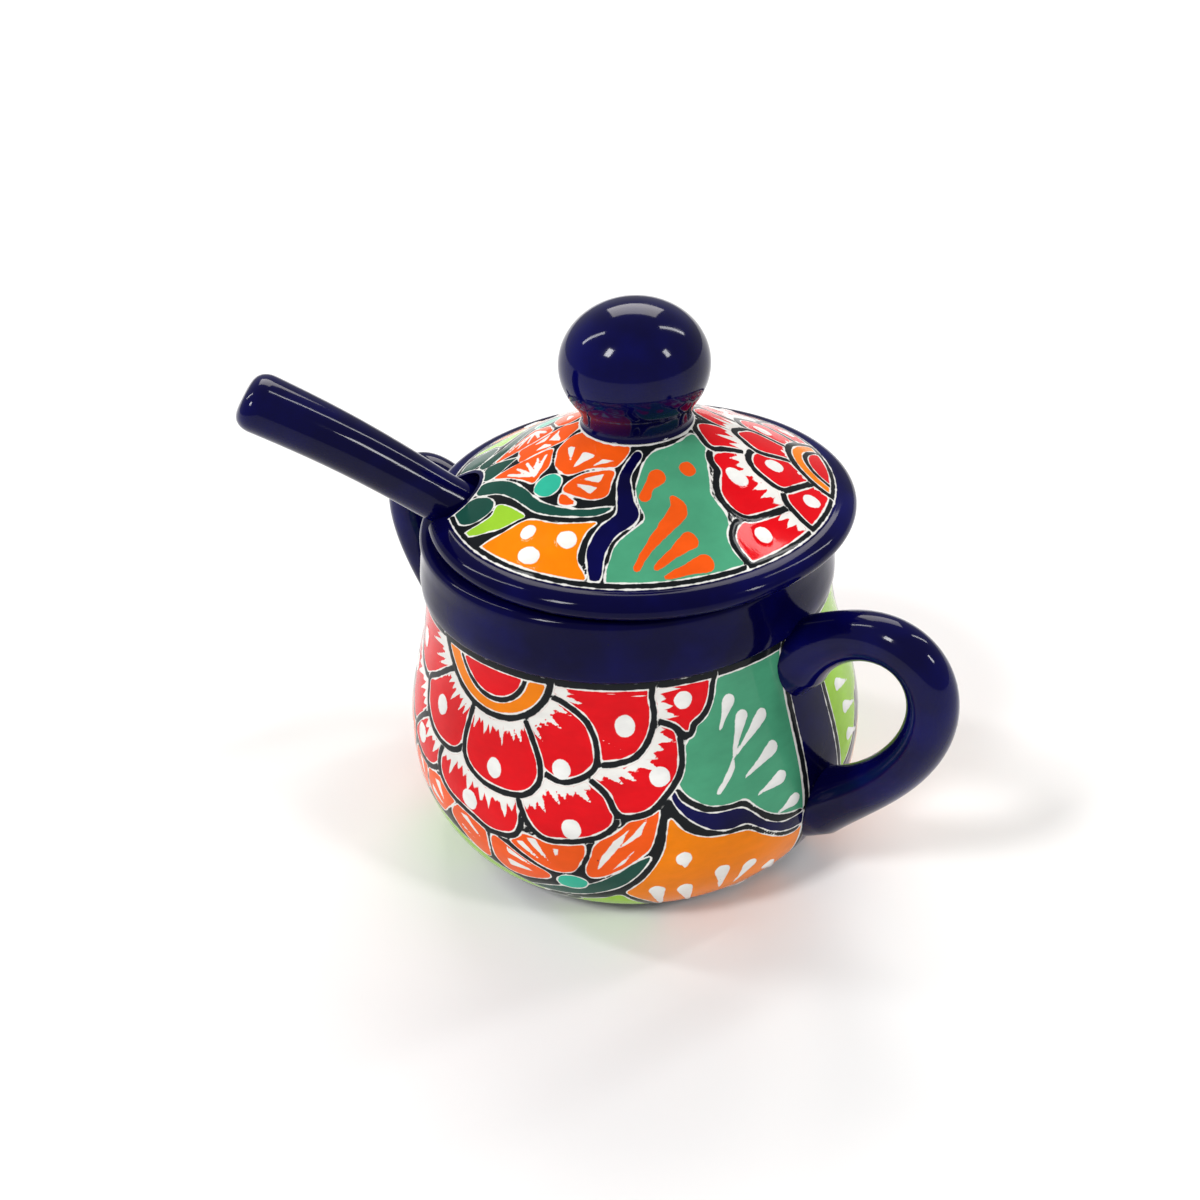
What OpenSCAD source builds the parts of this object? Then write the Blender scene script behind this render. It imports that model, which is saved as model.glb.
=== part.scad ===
// Sugar jar: a lidded, two-handled earthenware jar whose spoon stands in a notch of the lid.
// Millimetres, +Z up. The origin is the centre of the foot, on the surface that the jar stands on,
// and +X points to the right handle.

/* [Jar] */
// Radius of the flat foot
foot_r = 40; // [34:0.5:46]
// Radius of the belly at its widest ring
belly_r = 57.8; // [53:0.1:64]
// Height of the belly's widest ring
belly_z = 26; // [20:0.5:34]
// Radius of the neck, where the belly meets the collar
neck_r = 49.2; // [46:0.1:52]
// Height of the neck
neck_z = 70; // [60:0.5:80]
// Height of the plain collar above the neck
collar_h = 14.5; // [8:0.5:20]
// How far the collar stands out from the neck
collar_step = 0.6; // [0:0.1:2]
// How far the collar draws in from its foot to the lip
collar_taper = 1.2; // [0:0.1:3]
// Thickness of the jar's wall
jar_wall = 5; // [3:0.1:7]
// Thickness of the jar's floor
floor_t = 5.5; // [4:0.1:9]
// Depth of the recess that is turned under the foot
foot_recess = 1.5; // [0.5:0.1:3]
// Width of the ring that the foot stands on
foot_ring = 7; // [4:0.5:12]

/* [Handles] */
// Radius of the clay roll that a handle is pulled from
roll_r = 5.4; // [4:0.1:6.5]
// Height where a handle's upper end is pressed on the wall
top_joint_z = 63.5; // [58:0.5:66]
// Slope at which the upper end leaves the wall, in degrees
top_angle = 47; // [35:0.5:55]
// How far the upper end is pulled out
top_pull = 42; // [34:0.5:50]
// Height where a handle's lower end is pressed on the wall
low_joint_z = 24; // [20:0.5:30]
// Slope at which the lower end leaves the wall, in degrees
low_angle = 37.5; // [28:0.5:45]
// How far the lower end is pulled out
low_pull = 54.5; // [45:0.5:64]
// How far the left handle is pulled, as a share of the right one
left_pull = 0.95; // [0.9:0.01:1.1]
// How much thicker the roll is where it is pressed on, as a share of its radius
press_swell = 0.55; // [0:0.05:0.7]

/* [Lid] */
// Radius of the lid at its edge
lid_r = 50; // [46:0.1:54]
// Width of the rolled rim round the painted dome
rim_w = 4.4; // [3:0.1:7]
// Thickness of the rolled rim
rim_t = 5.8; // [4:0.1:9]
// Rise of the dome from the rim to the knob
dome_rise = 17; // [10:0.1:24]
// Fullness of the dome, where 0 is a plain cone
dome_bulge = 0.06; // [0:0.01:0.6]
// Thickness of the dome, measured upright
dome_t = 5.4; // [4:0.1:8]
// Depth of the flange that locates the lid in the mouth
flange_h = 6; // [3:0.5:12]
// Thickness of the flange
flange_t = 4; // [2.5:0.1:6]
// How far the spoon pushes the lid off the jar's centre
lid_shift = 4; // [0:0.1:5]
// Gap between the flange and the mouth where the lid is pushed up to it
flange_gap = 0.4; // [0.3:0.1:1.5]

/* [Knob] */
// Radius of the ball
knob_r = 16.9; // [13:0.1:22]
// Half the height of the ball
knob_half_h = 14.4; // [10:0.1:18]
// Radius of the neck under the ball
knob_neck_r = 12.4; // [8:0.1:15]
// Height of the straight part of the neck
knob_neck_h = 3.6; // [1:0.1:6]
// Wall of the hollow ball
knob_wall = 4.5; // [3:0.1:7]
// Diameter of the hole through the lid that vents the hollow ball
vent_d = 7; // [5:0.5:12]

/* [Spoon] */
// Side of the jar where the notch and the spoon stand, in degrees from the right handle
notch_angle = 222; // [180:1:270]
// Slope of the spoon's handle above the horizontal, in degrees
spoon_slope = 35.5; // [30:0.5:42]
// Length of the handle from the lip to its outer end
spoon_out = 48; // [35:0.5:70]
// Half the handle's width at its outer end
grip_w = 8.6; // [6:0.1:11]
// Half the handle's thickness at its outer end
grip_t = 6.6; // [5:0.1:9]
// Half the handle's width and thickness at the lip
stem_r = 6.1; // [4.5:0.1:8]
// Half the handle's width and thickness at the bowl
root_r = 4.2; // [3:0.1:6]
// How far the outer part of the handle arches up
stem_bow = 1; // [0:0.1:2]
// Half the length of the bowl
bowl_l = 17; // [12:0.5:22]
// Half the width of the bowl
bowl_w = 13; // [10:0.5:16]
// Depth of the bowl outside
bowl_d = 10; // [7:0.5:14]
// Height of the bowl's rim over the handle's line
bowl_rim = 2; // [0:0.1:4]
// Thickness of the bowl's wall
bowl_t = 3; // [2:0.1:4]
// Gap between the spoon and what it leans on, at the lip and in the jar's far corner
lean_gap = 0.35; // [0.3:0.05:1]
// Gap between the spoon's handle and the notch
notch_gap = 2.8; // [1:0.1:4]

/* [Hidden] */
cobalt = [0.07, 0.05, 0.36];
glaze_red = [0.80, 0.06, 0.08];
glaze_green = [0.30, 0.62, 0.48];
$fn = 96;
overlap = 0.5;
lip_z = neck_z + collar_h;
collar_r = neck_r + collar_step;
lip_r = collar_r - collar_taper;
mouth_r = lip_r - jar_wall;
lip_round = 2;
curve_steps = 12;
arc_steps = 6;
flange_r = mouth_r - lid_shift - flange_gap;
rim_top_r = lid_r - rim_w;
rim_top_z = lip_z + rim_t;
knob_seat_z = rim_top_z + dome_rise;
ball_z = knob_seat_z + knob_neck_h + knob_half_h * sqrt(1 - pow(knob_neck_r / knob_r, 2));
stem_z = lip_z - lip_round
    + (lip_round + stem_r + lean_gap - lip_round * sin(spoon_slope)) / cos(spoon_slope);

// Points of a quarter of an ellipse, from angle a0 to a1 round a centre
function arc(centre, rx, ry, a0, a1, steps) =
    [for (i = [0 : steps]) let (a = a0 + (a1 - a0) * i / steps) centre + [rx * cos(a), ry * sin(a)]];

// Belly and neck, from the foot up: a quarter ellipse below the widest ring and an S-curve above it
function belly(inset, base_z) = concat(
    arc([foot_r - inset, belly_z], belly_r - foot_r, belly_z - base_z, -90, 0, curve_steps),
    [for (i = [1 : curve_steps]) let (t = i / curve_steps)
        [neck_r - inset + (belly_r - neck_r) * (1 + cos(180 * t)) / 2, belly_z + (neck_z - belly_z) * t]]);

// Outside of the jar from the foot to the lip's outer corner
function jar_outside() = concat(
    belly(0, 0),
    [[collar_r, neck_z + collar_step]],
    arc([lip_r - lip_round, lip_z - lip_round], lip_round, lip_round, 0, 90, arc_steps));

// Inside of the jar from the floor to the lip's inner corner
function jar_inside() = concat(
    belly(jar_wall, floor_t),
    [[mouth_r, neck_z + collar_step]],
    arc([mouth_r + lip_round, lip_z - lip_round], lip_round, lip_round, 180, 90, arc_steps));

// The jar's outer form with no hollow, which also trims the handles
module jar_form() {
    rotate_extrude() polygon(concat([[0, 0]], jar_outside(), [[0, lip_z]]));
}

module jar_body() {
    color(glaze_red)
    difference() {
        jar_form();
        rotate_extrude() polygon(concat([[0, floor_t]], jar_inside(), [[0, lip_z]]));
        translate([0, 0, -overlap]) cylinder(r = foot_r - foot_ring, h = foot_recess + overlap);
    }
}

// One solid through a list of rings that all have the same number of points
module loft(rings) {
    sides = len(rings[0]);
    last = len(rings) - 1;
    points = [for (ring = rings) for (p = ring) p];
    walls = [for (k = [0 : last - 1]) for (i = [0 : sides - 1]) let (j = (i + 1) % sides)
        each [[k * sides + i, (k + 1) * sides + i, k * sides + j],
              [k * sides + j, (k + 1) * sides + i, (k + 1) * sides + j]]];
    ends = [[for (i = [0 : sides - 1]) i], [for (i = [sides - 1 : -1 : 0]) last * sides + i]];
    polyhedron(points, concat(walls, ends));
}

// Radius of the jar's outside at height z, up to the neck
function jar_r(z) = z < belly_z
    ? foot_r + (belly_r - foot_r) * sqrt(1 - pow((belly_z - z) / belly_z, 2))
    : neck_r + (belly_r - neck_r) * (1 + cos(180 * (z - belly_z) / (neck_z - belly_z))) / 2;

// Centre of a handle's roll in the XZ plane, along a cubic curve from the upper joint (0) to the lower (1)
function roll_at(t, pull) =
    let (top = [jar_r(top_joint_z), 0, top_joint_z],
         low = [jar_r(low_joint_z), 0, low_joint_z],
         top_aim = top + pull * top_pull * [cos(top_angle), 0, sin(top_angle)],
         low_aim = low + pull * low_pull * [cos(low_angle), 0, sin(low_angle)],
         s = 1 - t)
    s * s * s * top + 3 * s * s * t * top_aim + 3 * s * t * t * low_aim + t * t * t * low;

// Ring of the roll at share t: it swells at both ends, which run on into the wall to be trimmed by it
roll_runon = 0.1;
roll_step = 0.01;
roll_rings = 40;
roll_sides = 20;
swell_power = 8;
function roll_ring(t, pull) =
    let (way = roll_at(t + roll_step, pull) - roll_at(t - roll_step, pull),
         out = [way[2], 0, -way[0]] / norm(way),
         end = min(1, abs(2 * t - 1)),
         r = roll_r * (1 + press_swell * pow(end, swell_power)))
    [for (i = [0 : roll_sides - 1]) let (b = 360 * i / roll_sides)
        roll_at(t, pull) + r * (cos(b) * out + [0, sin(b), 0])];

module handle(pull) {
    color(cobalt)
    difference() {
        loft([for (k = [0 : roll_rings])
            roll_ring((1 + 2 * roll_runon) * k / roll_rings - roll_runon, pull)]);
        jar_form();
    }
}

module right_handle() handle(1);

module left_handle() rotate(180) handle(left_pull);

// Moves what is drawn on the lid's own axis to where the spoon pushes the lid
module lid_place() {
    rotate(notch_angle) translate([-lid_shift, 0, 0]) children();
}

// Moves what is drawn along the spoon, +X to its outer end, to where it leans on the lip
module spoon_place() {
    rotate(notch_angle) translate([mouth_r, 0, stem_z]) rotate([0, -spoon_slope, 0]) children();
}

// Height of the dome's top at share t of the way from the rim to the knob
function dome_z(t) = rim_top_z + dome_rise * (t + dome_bulge * t * (1 - t));

function dome(drop) = [for (i = [0 : curve_steps]) let (t = i / curve_steps)
    [rim_top_r + (knob_neck_r - rim_top_r) * t, dome_z(t) - drop]];

// Section of the lid: flange, flat seat on the lip, rolled rim, dome, and the hollow under the dome
function lid_section() =
    let (inside = flange_r - flange_t,
         under = [for (p = dome(dome_t)) if (p[0] < inside) p])
    concat(
        [[inside, lip_z - flange_h], [flange_r, lip_z - flange_h], [flange_r, lip_z]],
        arc([rim_top_r, lip_z + rim_t / 2], rim_w, rim_t / 2, -90, 90, 2 * arc_steps),
        dome(0), [[0, knob_seat_z], [0, knob_seat_z - dome_t]],
        [for (i = [len(under) - 1 : -1 : 0]) under[i]], [[inside, lip_z]]);

// Room for the spoon in the lid: round over the handle, and open below so that the lid lifts off
notch_reach = lid_r + lid_shift;
module notch() {
    notch_r = stem_r + notch_gap;
    spoon_place() rotate([90, 0, 90]) linear_extrude(2 * notch_reach, center = true) {
        circle(notch_r);
        translate([-notch_r, -notch_reach]) square([2 * notch_r, notch_reach]);
    }
}

// Hole from under the lid into the hollow of the knob
module vent() {
    translate([0, 0, knob_seat_z - dome_t - overlap])
        cylinder(d = vent_d, h = ball_z - knob_seat_z + dome_t);
}

module lid() {
    color(glaze_green)
    difference() {
        lid_place() rotate_extrude() polygon(lid_section());
        lid_place() vent();
        notch();
    }
}

// Section of the ball, grown by a margin, from its neck to its top
function ball(margin) =
    let (start = -acos(knob_neck_r / knob_r))
    arc([0, ball_z], knob_r + margin, knob_half_h + margin, start, 90, 2 * curve_steps);

module lid_knob() {
    color(cobalt)
    lid_place() difference() {
        rotate_extrude() polygon(concat([[0, knob_seat_z], [knob_neck_r, knob_seat_z]], ball(0)));
        rotate_extrude() polygon(concat([[0, ball(-knob_wall)[0][1]]], ball(-knob_wall)));
        vent();
    }
}

// Travel of the bowl's centre from the lip, down the spoon's line, until the bowl meets the far wall:
// the least way left in front of the bowl over the wall's facets, up to where the belly turns hollow
function bowl_reach() =
    let (wall = belly(jar_wall, floor_t),
         down = [-cos(spoon_slope), -sin(spoon_slope)],
         up = [-sin(spoon_slope), cos(spoon_slope)])
    min([for (i = [1 : curve_steps * 3 / 2])
        let (step = wall[i] - wall[i - 1],
             facing = [-step[1], -step[0]] / norm(step),
             extent = norm([bowl_l * (facing * down), bowl_d * (facing * up)]),
             way = facing * ([-wall[i][0], wall[i][1]] - [mouth_r, stem_z]) - extent - lean_gap)
        way / (facing * down)]);

bowl_x = -bowl_reach();
spoon_in = -bowl_x - bowl_l + root_r;

// Half widths [across, up] of the handle at distance x from the lip
function stem_half(x) =
    let (out = max(0, x / spoon_out), in = max(0, -x / spoon_in))
    [stem_r + (grip_w - stem_r) * out - (stem_r - root_r) * in,
     stem_r + (grip_t - stem_r) * out - (stem_r - root_r) * in];

// Rise of the handle's middle above its straight line at distance x from the lip
function stem_rise(x) = stem_bow * sin(180 * max(0, x) / spoon_out);

stem_rings = 22;
stem_sides = 24;
end_rings = 7;
end_l = 2 * grip_t / 3;
end_blunt = 0.5;
end_sweep = 89;
function stem_ring(x, share) =
    [for (i = [0 : stem_sides - 1]) let (b = 360 * i / stem_sides)
        [x, share * stem_half(x)[0] * cos(b), stem_rise(x) + share * stem_half(x)[1] * sin(b)]];

module spoon() {
    color(cobalt)
    spoon_place() {
        difference() {
            union() {
                loft(concat(
                    [for (k = [0 : stem_rings])
                        stem_ring(-spoon_in + (spoon_in + spoon_out - end_l) * k / stem_rings, 1)],
                    [for (k = [1 : end_rings]) let (a = end_sweep * k / end_rings)
                        stem_ring(spoon_out - end_l + end_l * sin(a), pow(cos(a), end_blunt))]));
                translate([bowl_x, 0, 0]) scale([bowl_l, bowl_w, bowl_d]) sphere(1);
            }
            translate([bowl_x, 0, 0]) scale([bowl_l - bowl_t, bowl_w - bowl_t, bowl_d - bowl_t]) sphere(1);
            translate([bowl_x - bowl_l - overlap, -bowl_w - overlap, bowl_rim])
                cube([2 * bowl_l + overlap - root_r, 2 * (bowl_w + overlap), bowl_d]);
        }
    }
}

jar_body();
right_handle();
left_handle();
lid();
lid_knob();
spoon();
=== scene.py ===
"""Sugar jar: glazed skins with their painted folk pattern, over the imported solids.

Lengths are millimetres in the same frame as the solids, until a mesh is made, and metres after that.
The pattern is drawn with signed distances: negative inside a painted shape, positive outside it.
"""
import math

import bpy
import numpy as np
from mathutils import Matrix, Vector


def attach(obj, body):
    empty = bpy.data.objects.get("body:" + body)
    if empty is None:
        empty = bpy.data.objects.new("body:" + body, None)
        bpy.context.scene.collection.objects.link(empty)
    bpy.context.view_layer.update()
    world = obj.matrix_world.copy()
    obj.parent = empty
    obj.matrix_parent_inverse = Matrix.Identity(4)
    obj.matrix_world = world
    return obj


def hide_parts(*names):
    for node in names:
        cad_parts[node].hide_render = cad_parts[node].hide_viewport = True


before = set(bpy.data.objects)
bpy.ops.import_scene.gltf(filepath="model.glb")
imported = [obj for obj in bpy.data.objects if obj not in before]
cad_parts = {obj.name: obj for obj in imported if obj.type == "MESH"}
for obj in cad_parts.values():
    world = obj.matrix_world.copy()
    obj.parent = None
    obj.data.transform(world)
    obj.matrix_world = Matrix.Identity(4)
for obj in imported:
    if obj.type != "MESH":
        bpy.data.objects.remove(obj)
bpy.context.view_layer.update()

MM = 0.001

# Jar
FOOT_R, BELLY_R, BELLY_Z = 40.0, 57.8, 26.0
NECK_R, NECK_Z = 49.2, 70.0
COLLAR_H, COLLAR_STEP, COLLAR_TAPER = 14.5, 0.6, 1.2
JAR_WALL, FLOOR_T = 5.0, 5.5
FOOT_RECESS, FOOT_RING = 1.5, 7.0
LIP_ROUND = 2.0
LIP_Z = NECK_Z + COLLAR_H
COLLAR_R = NECK_R + COLLAR_STEP
LIP_R = COLLAR_R - COLLAR_TAPER
MOUTH_R = LIP_R - JAR_WALL

# Handles
ROLL_R, PRESS_SWELL, SWELL_POWER = 5.4, 0.55, 8
TOP_JOINT_Z, TOP_ANGLE, TOP_PULL = 63.5, 47.0, 42.0
LOW_JOINT_Z, LOW_ANGLE, LOW_PULL = 24.0, 37.5, 54.5
LEFT_PULL = 0.95

# Lid and knob
LID_R, RIM_W, RIM_T = 50.0, 4.4, 5.8
DOME_RISE, DOME_BULGE, DOME_T = 17.0, 0.06, 5.4
FLANGE_H, FLANGE_T, FLANGE_GAP = 6.0, 4.0, 0.4
LID_SHIFT = 4.0
KNOB_R, KNOB_HALF_H = 16.9, 14.4
KNOB_NECK_R, KNOB_NECK_H, KNOB_WALL = 12.4, 3.6, 4.5
VENT_R = 3.5
FLANGE_R = MOUTH_R - LID_SHIFT - FLANGE_GAP
RIM_TOP_R = LID_R - RIM_W
RIM_TOP_Z = LIP_Z + RIM_T
KNOB_SEAT_Z = RIM_TOP_Z + DOME_RISE
BALL_Z = KNOB_SEAT_Z + KNOB_NECK_H + KNOB_HALF_H * math.sqrt(1 - (KNOB_NECK_R / KNOB_R) ** 2)

# Spoon
NOTCH_ANGLE, SPOON_SLOPE = 222.0, 35.5
SPOON_OUT, GRIP_W, GRIP_T = 48.0, 8.6, 6.6
STEM_R, ROOT_R, STEM_BOW = 6.1, 4.2, 1.0
BOWL_L, BOWL_W, BOWL_D, BOWL_RIM, BOWL_T = 17.0, 13.0, 10.0, 2.0, 3.0
BOWL_X = -99.45
SPOON_IN = -BOWL_X - BOWL_L + ROOT_R
LEAN_GAP, NOTCH_GAP = 0.35, 2.8
SLOPE = math.radians(SPOON_SLOPE)
STEM_Z = LIP_Z - LIP_ROUND + (LIP_ROUND * (1 - math.sin(SLOPE)) + STEM_R + LEAN_GAP) / math.cos(SLOPE)
END_L, END_BLUNT, END_SWEEP = 2 * GRIP_T / 3, 0.5, 89.0

# Pattern: lines, margins, relief and brush marks; PANEL and HANDLE_STRIP are degrees round the jar
LINE, MARGIN = 1.5, 0.3
FAR, TINY, CURVE_STEPS = 9.0, 1e-9, 7
SLIP_RELIEF, SLIP_ROUND = 0.3, 0.9
INK_RELIEF, INK_ROUND = 0.08, 0.5
COLLAR_LINE, COLLAR_LAP, GLAZE_RUN = 2.1, 0.5, 0.3
ROOT_GROWTH = 0.8
FEATHER_PITCH, FEATHER_BASE, FEATHER_CRISP = 2.3, 0.16, 2.0
FEATHER_MEAN, FEATHER_SWING, FEATHER_TURN = 0.62, 0.38, 2.4
COMMA_TAPER, COMMA_END = ((0.0, 1.0), (0.25, 0.72), (0.55, 0.42)), 0.25
PANEL_START, PANEL_SPAN, PANEL_MIDDLE = -188.0, 180.0, -90.0
HANDLE_STRIP, FOOT_BAND = 8.0, 9.0

# Paints in the order in which they lie over the white slip, as linear colours
PAINTS = {
    "sea_green": (0.075, 0.36, 0.20),
    "lime": (0.33, 0.62, 0.035),
    "dark_green": (0.012, 0.075, 0.055),
    "orange": (0.93, 0.235, 0.002),
    "vermilion": (0.93, 0.105, 0.008),
    "red": (0.77, 0.003, 0.009),
    "teal": (0.035, 0.50, 0.34),
    "cobalt": (0.0016, 0.0012, 0.034),
    "white": (0.88, 0.87, 0.83),
    "ink": (0.009, 0.011, 0.013),
    "slip": (0.90, 0.90, 0.87),
}


def turn(degrees):
    """Turns about Z as a 2 by 2 matrix."""
    c, s = math.cos(math.radians(degrees)), math.sin(math.radians(degrees))
    return np.array([[c, -s], [s, c]])


# Signed distances


def curve(knots, closed=False):
    """Points of a smooth curve through the knots."""
    k = np.asarray(knots, float)
    count = len(k) if closed else len(k) - 1
    found = []
    for i in range(count):
        four = np.arange(i - 1, i + 3)
        a, b, c, d = k[four % len(k) if closed else np.clip(four, 0, len(k) - 1)]
        for t in np.arange(CURVE_STEPS) / CURVE_STEPS:
            bend = 2 * a - 5 * b + 4 * c - d + t * (3 * (b - c) + d - a)
            found.append(b + 0.5 * t * (c - a + t * bend))
    if not closed:
        found.append(k[-1])
    return np.array(found)


def near(points, low, high):
    """The points close enough to a box for a distance to matter."""
    return np.nonzero(((points > low - FAR) & (points < high + FAR)).all(1))[0]


def to_segment(p, a, b):
    """Distance from points to a segment, and the share of the way along it."""
    way = b - a
    t = np.clip((p - a) @ way / max(way @ way, TINY), 0, 1)
    return np.linalg.norm(p - a - t[:, None] * way, axis=1), t


def stroke(points, knots):
    """A brush stroke through knots (x, y, half-width)."""
    line = curve(knots)
    distance = np.full(len(points), FAR)
    close = near(points, line[:, :2].min(0), line[:, :2].max(0))
    p, best = points[close], np.full(len(close), FAR)
    for a, b in zip(line[:-1], line[1:]):
        d, t = to_segment(p, a[:2], b[:2])
        best = np.minimum(best, d - a[2] - (b[2] - a[2]) * t)
    distance[close] = best
    return distance


def dot(points, x, y, rx, ry=None):
    """A round or oval dot."""
    r = np.array([rx, ry or rx])
    q = (points - (x, y)) / r
    return np.clip((np.linalg.norm(q, axis=1) - 1) * r.min(), -FAR, FAR)


def field(points, knots, smooth=True):
    """A field inside a closed outline, smooth through its knots or straight between them."""
    outline = curve(knots, closed=True) if smooth else np.asarray(knots, float)
    distance = np.full(len(points), FAR)
    close = near(points, outline.min(0), outline.max(0))
    p, best, inside = points[close], np.full(len(close), FAR), np.zeros(len(close), bool)
    for a, b in zip(outline, np.roll(outline, -1, axis=0)):
        best = np.minimum(best, to_segment(p, a, b)[0])
        if a[1] != b[1]:
            across = a[0] + (p[:, 1] - a[1]) * (b[0] - a[0]) / (b[1] - a[1])
            inside ^= ((p[:, 1] > a[1]) != (p[:, 1] > b[1])) & (p[:, 0] < across)
    distance[close] = np.where(inside, -best, best)
    return distance


def feather(beyond, lane, depth):
    """White brushed out in uneven points; beyond is the way past the edge it starts from."""
    tooth = 1 - np.abs(lane % 1 - 0.5) * 2
    length = FEATHER_MEAN + FEATHER_SWING * np.sin(FEATHER_TURN * np.floor(lane))
    tip = depth * (FEATHER_BASE + (1 - FEATHER_BASE) * tooth * length)
    return (beyond - tip) / np.hypot(1, 2 * depth / FEATHER_PITCH) * FEATHER_CRISP


class Painting:
    """Signed distances of every paint at a set of points, laid in painter's order on an ink ground."""

    def __init__(self, points):
        self.points = points
        self.layers = {name: np.full(len(points), FAR) for name in PAINTS}
        self.layers["ink"][:] = -FAR

    def cover(self, distance):
        """Wipes everything that was painted inside a shape."""
        for layer in self.layers.values():
            np.maximum(layer, -distance, out=layer)

    def lay(self, paint, distance):
        """Adds a shape to a paint and wipes nothing."""
        np.minimum(self.layers[paint], distance, out=self.layers[paint])

    def motif(self, paint, distance):
        """A shape with a dark outline and thin white margins inside and outside it."""
        self.cover(distance - MARGIN)
        self.lay("ink", np.abs(distance + LINE / 2) - LINE / 2)
        self.lay(paint, distance + LINE + MARGIN)

    def patch(self, paint, distance):
        """A shape with a thin white margin and no outline of its own."""
        self.cover(distance - MARGIN)
        self.lay(paint, distance)

    def rosette(self, centre, core, rows, limit):
        """Rows of red petals round a core, laid like scales, with white brushed out from the row within."""
        way = self.points - centre
        angle = np.arctan2(way[:, 1], way[:, 0])
        laid = []
        for outlines, depths in rows:
            shapes = []
            for outline, depth in zip(outlines, depths):
                spoke = np.asarray(outline) - centre
                reach = np.linalg.norm(spoke, axis=1)
                middle = reach.mean()
                grown = reach - ROOT_GROWTH * np.maximum(0, middle - reach)
                shape = field(self.points, centre + spoke * (grown / reach)[:, None]) - LINE - MARGIN
                shapes.append(np.maximum(shape, limit))
                laid.append((shapes[-1], core, angle * middle / FEATHER_PITCH, depth))
            core = np.minimum(core, np.min(shapes, axis=0))
        for shape, within, lane, depth in reversed(laid):
            self.motif("red", shape)
            self.lay("white", np.maximum(feather(within - MARGIN, lane, depth), shape + LINE + MARGIN))

    def flower(self, centre, rows, limit, core, ring, eye):
        """Rows of petals, an orange core, and a red eye in a dark ring, all kept within a limit."""
        within = limit - LINE - MARGIN
        core = np.maximum(core, within)
        self.rosette(centre, core, rows, within)
        self.motif("orange", core)
        self.patch("ink", np.maximum(ring, limit))
        self.patch("red", np.maximum(eye, limit))

    def comma(self, head, tail, radius, place=None):
        """A trailed comma of slip; place is another set of coordinates."""
        head, tail = np.array(head), np.array(tail)
        knots = [(*(head + (tail - head) * t), share * radius) for t, share in COMMA_TAPER]
        knots.append((*tail, COMMA_END))
        self.lay("slip", stroke(self.points if place is None else place, knots))


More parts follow.
